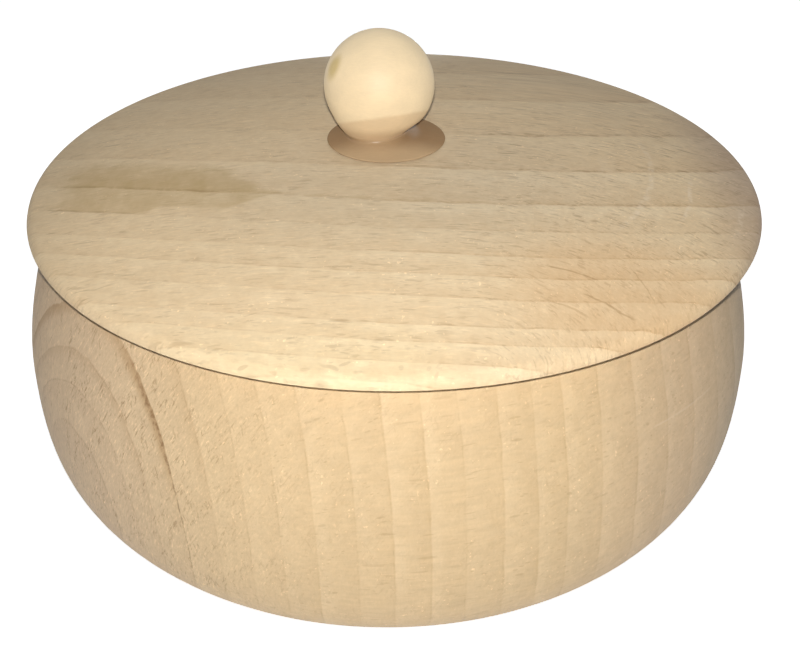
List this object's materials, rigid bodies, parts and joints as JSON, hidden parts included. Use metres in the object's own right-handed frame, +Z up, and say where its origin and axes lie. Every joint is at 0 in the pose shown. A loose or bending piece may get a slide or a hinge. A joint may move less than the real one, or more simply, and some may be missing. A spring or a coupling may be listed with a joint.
{
  "type": "round lidded wooden box",
  "caption": "Round turned wooden box: a low bulging bowl with a flat base, an overhanging domed lid with a locating spigot, and a ball knob on a flared foot.",
  "frame": {"origin": "centre of the bowl's flat base, on the bowl's turning axis", "axes": "+Z up along the bowl's turning axis; -Y is the side the picture shows; the lid's grain runs along X"},
  "size_m": [0.1376, 0.1376, 0.0979],
  "materials": {
    "bowl_wood": "bare sanded beech",
    "lid_wood": "bare sanded beech",
    "knob_wood": "bare sanded pale beech"
  },
  "bodies": {
    "bowl": {"bowl": "bowl_wood"},
    "lid": {"lid": "lid_wood", "knob": "knob_wood"}
  },
  "joints": [
    {"name": "lid_lift", "type": "slide", "parent": "bowl", "child": "lid", "axis": [0, 0, 1], "range_m": [0, 0.06]}
  ]
}
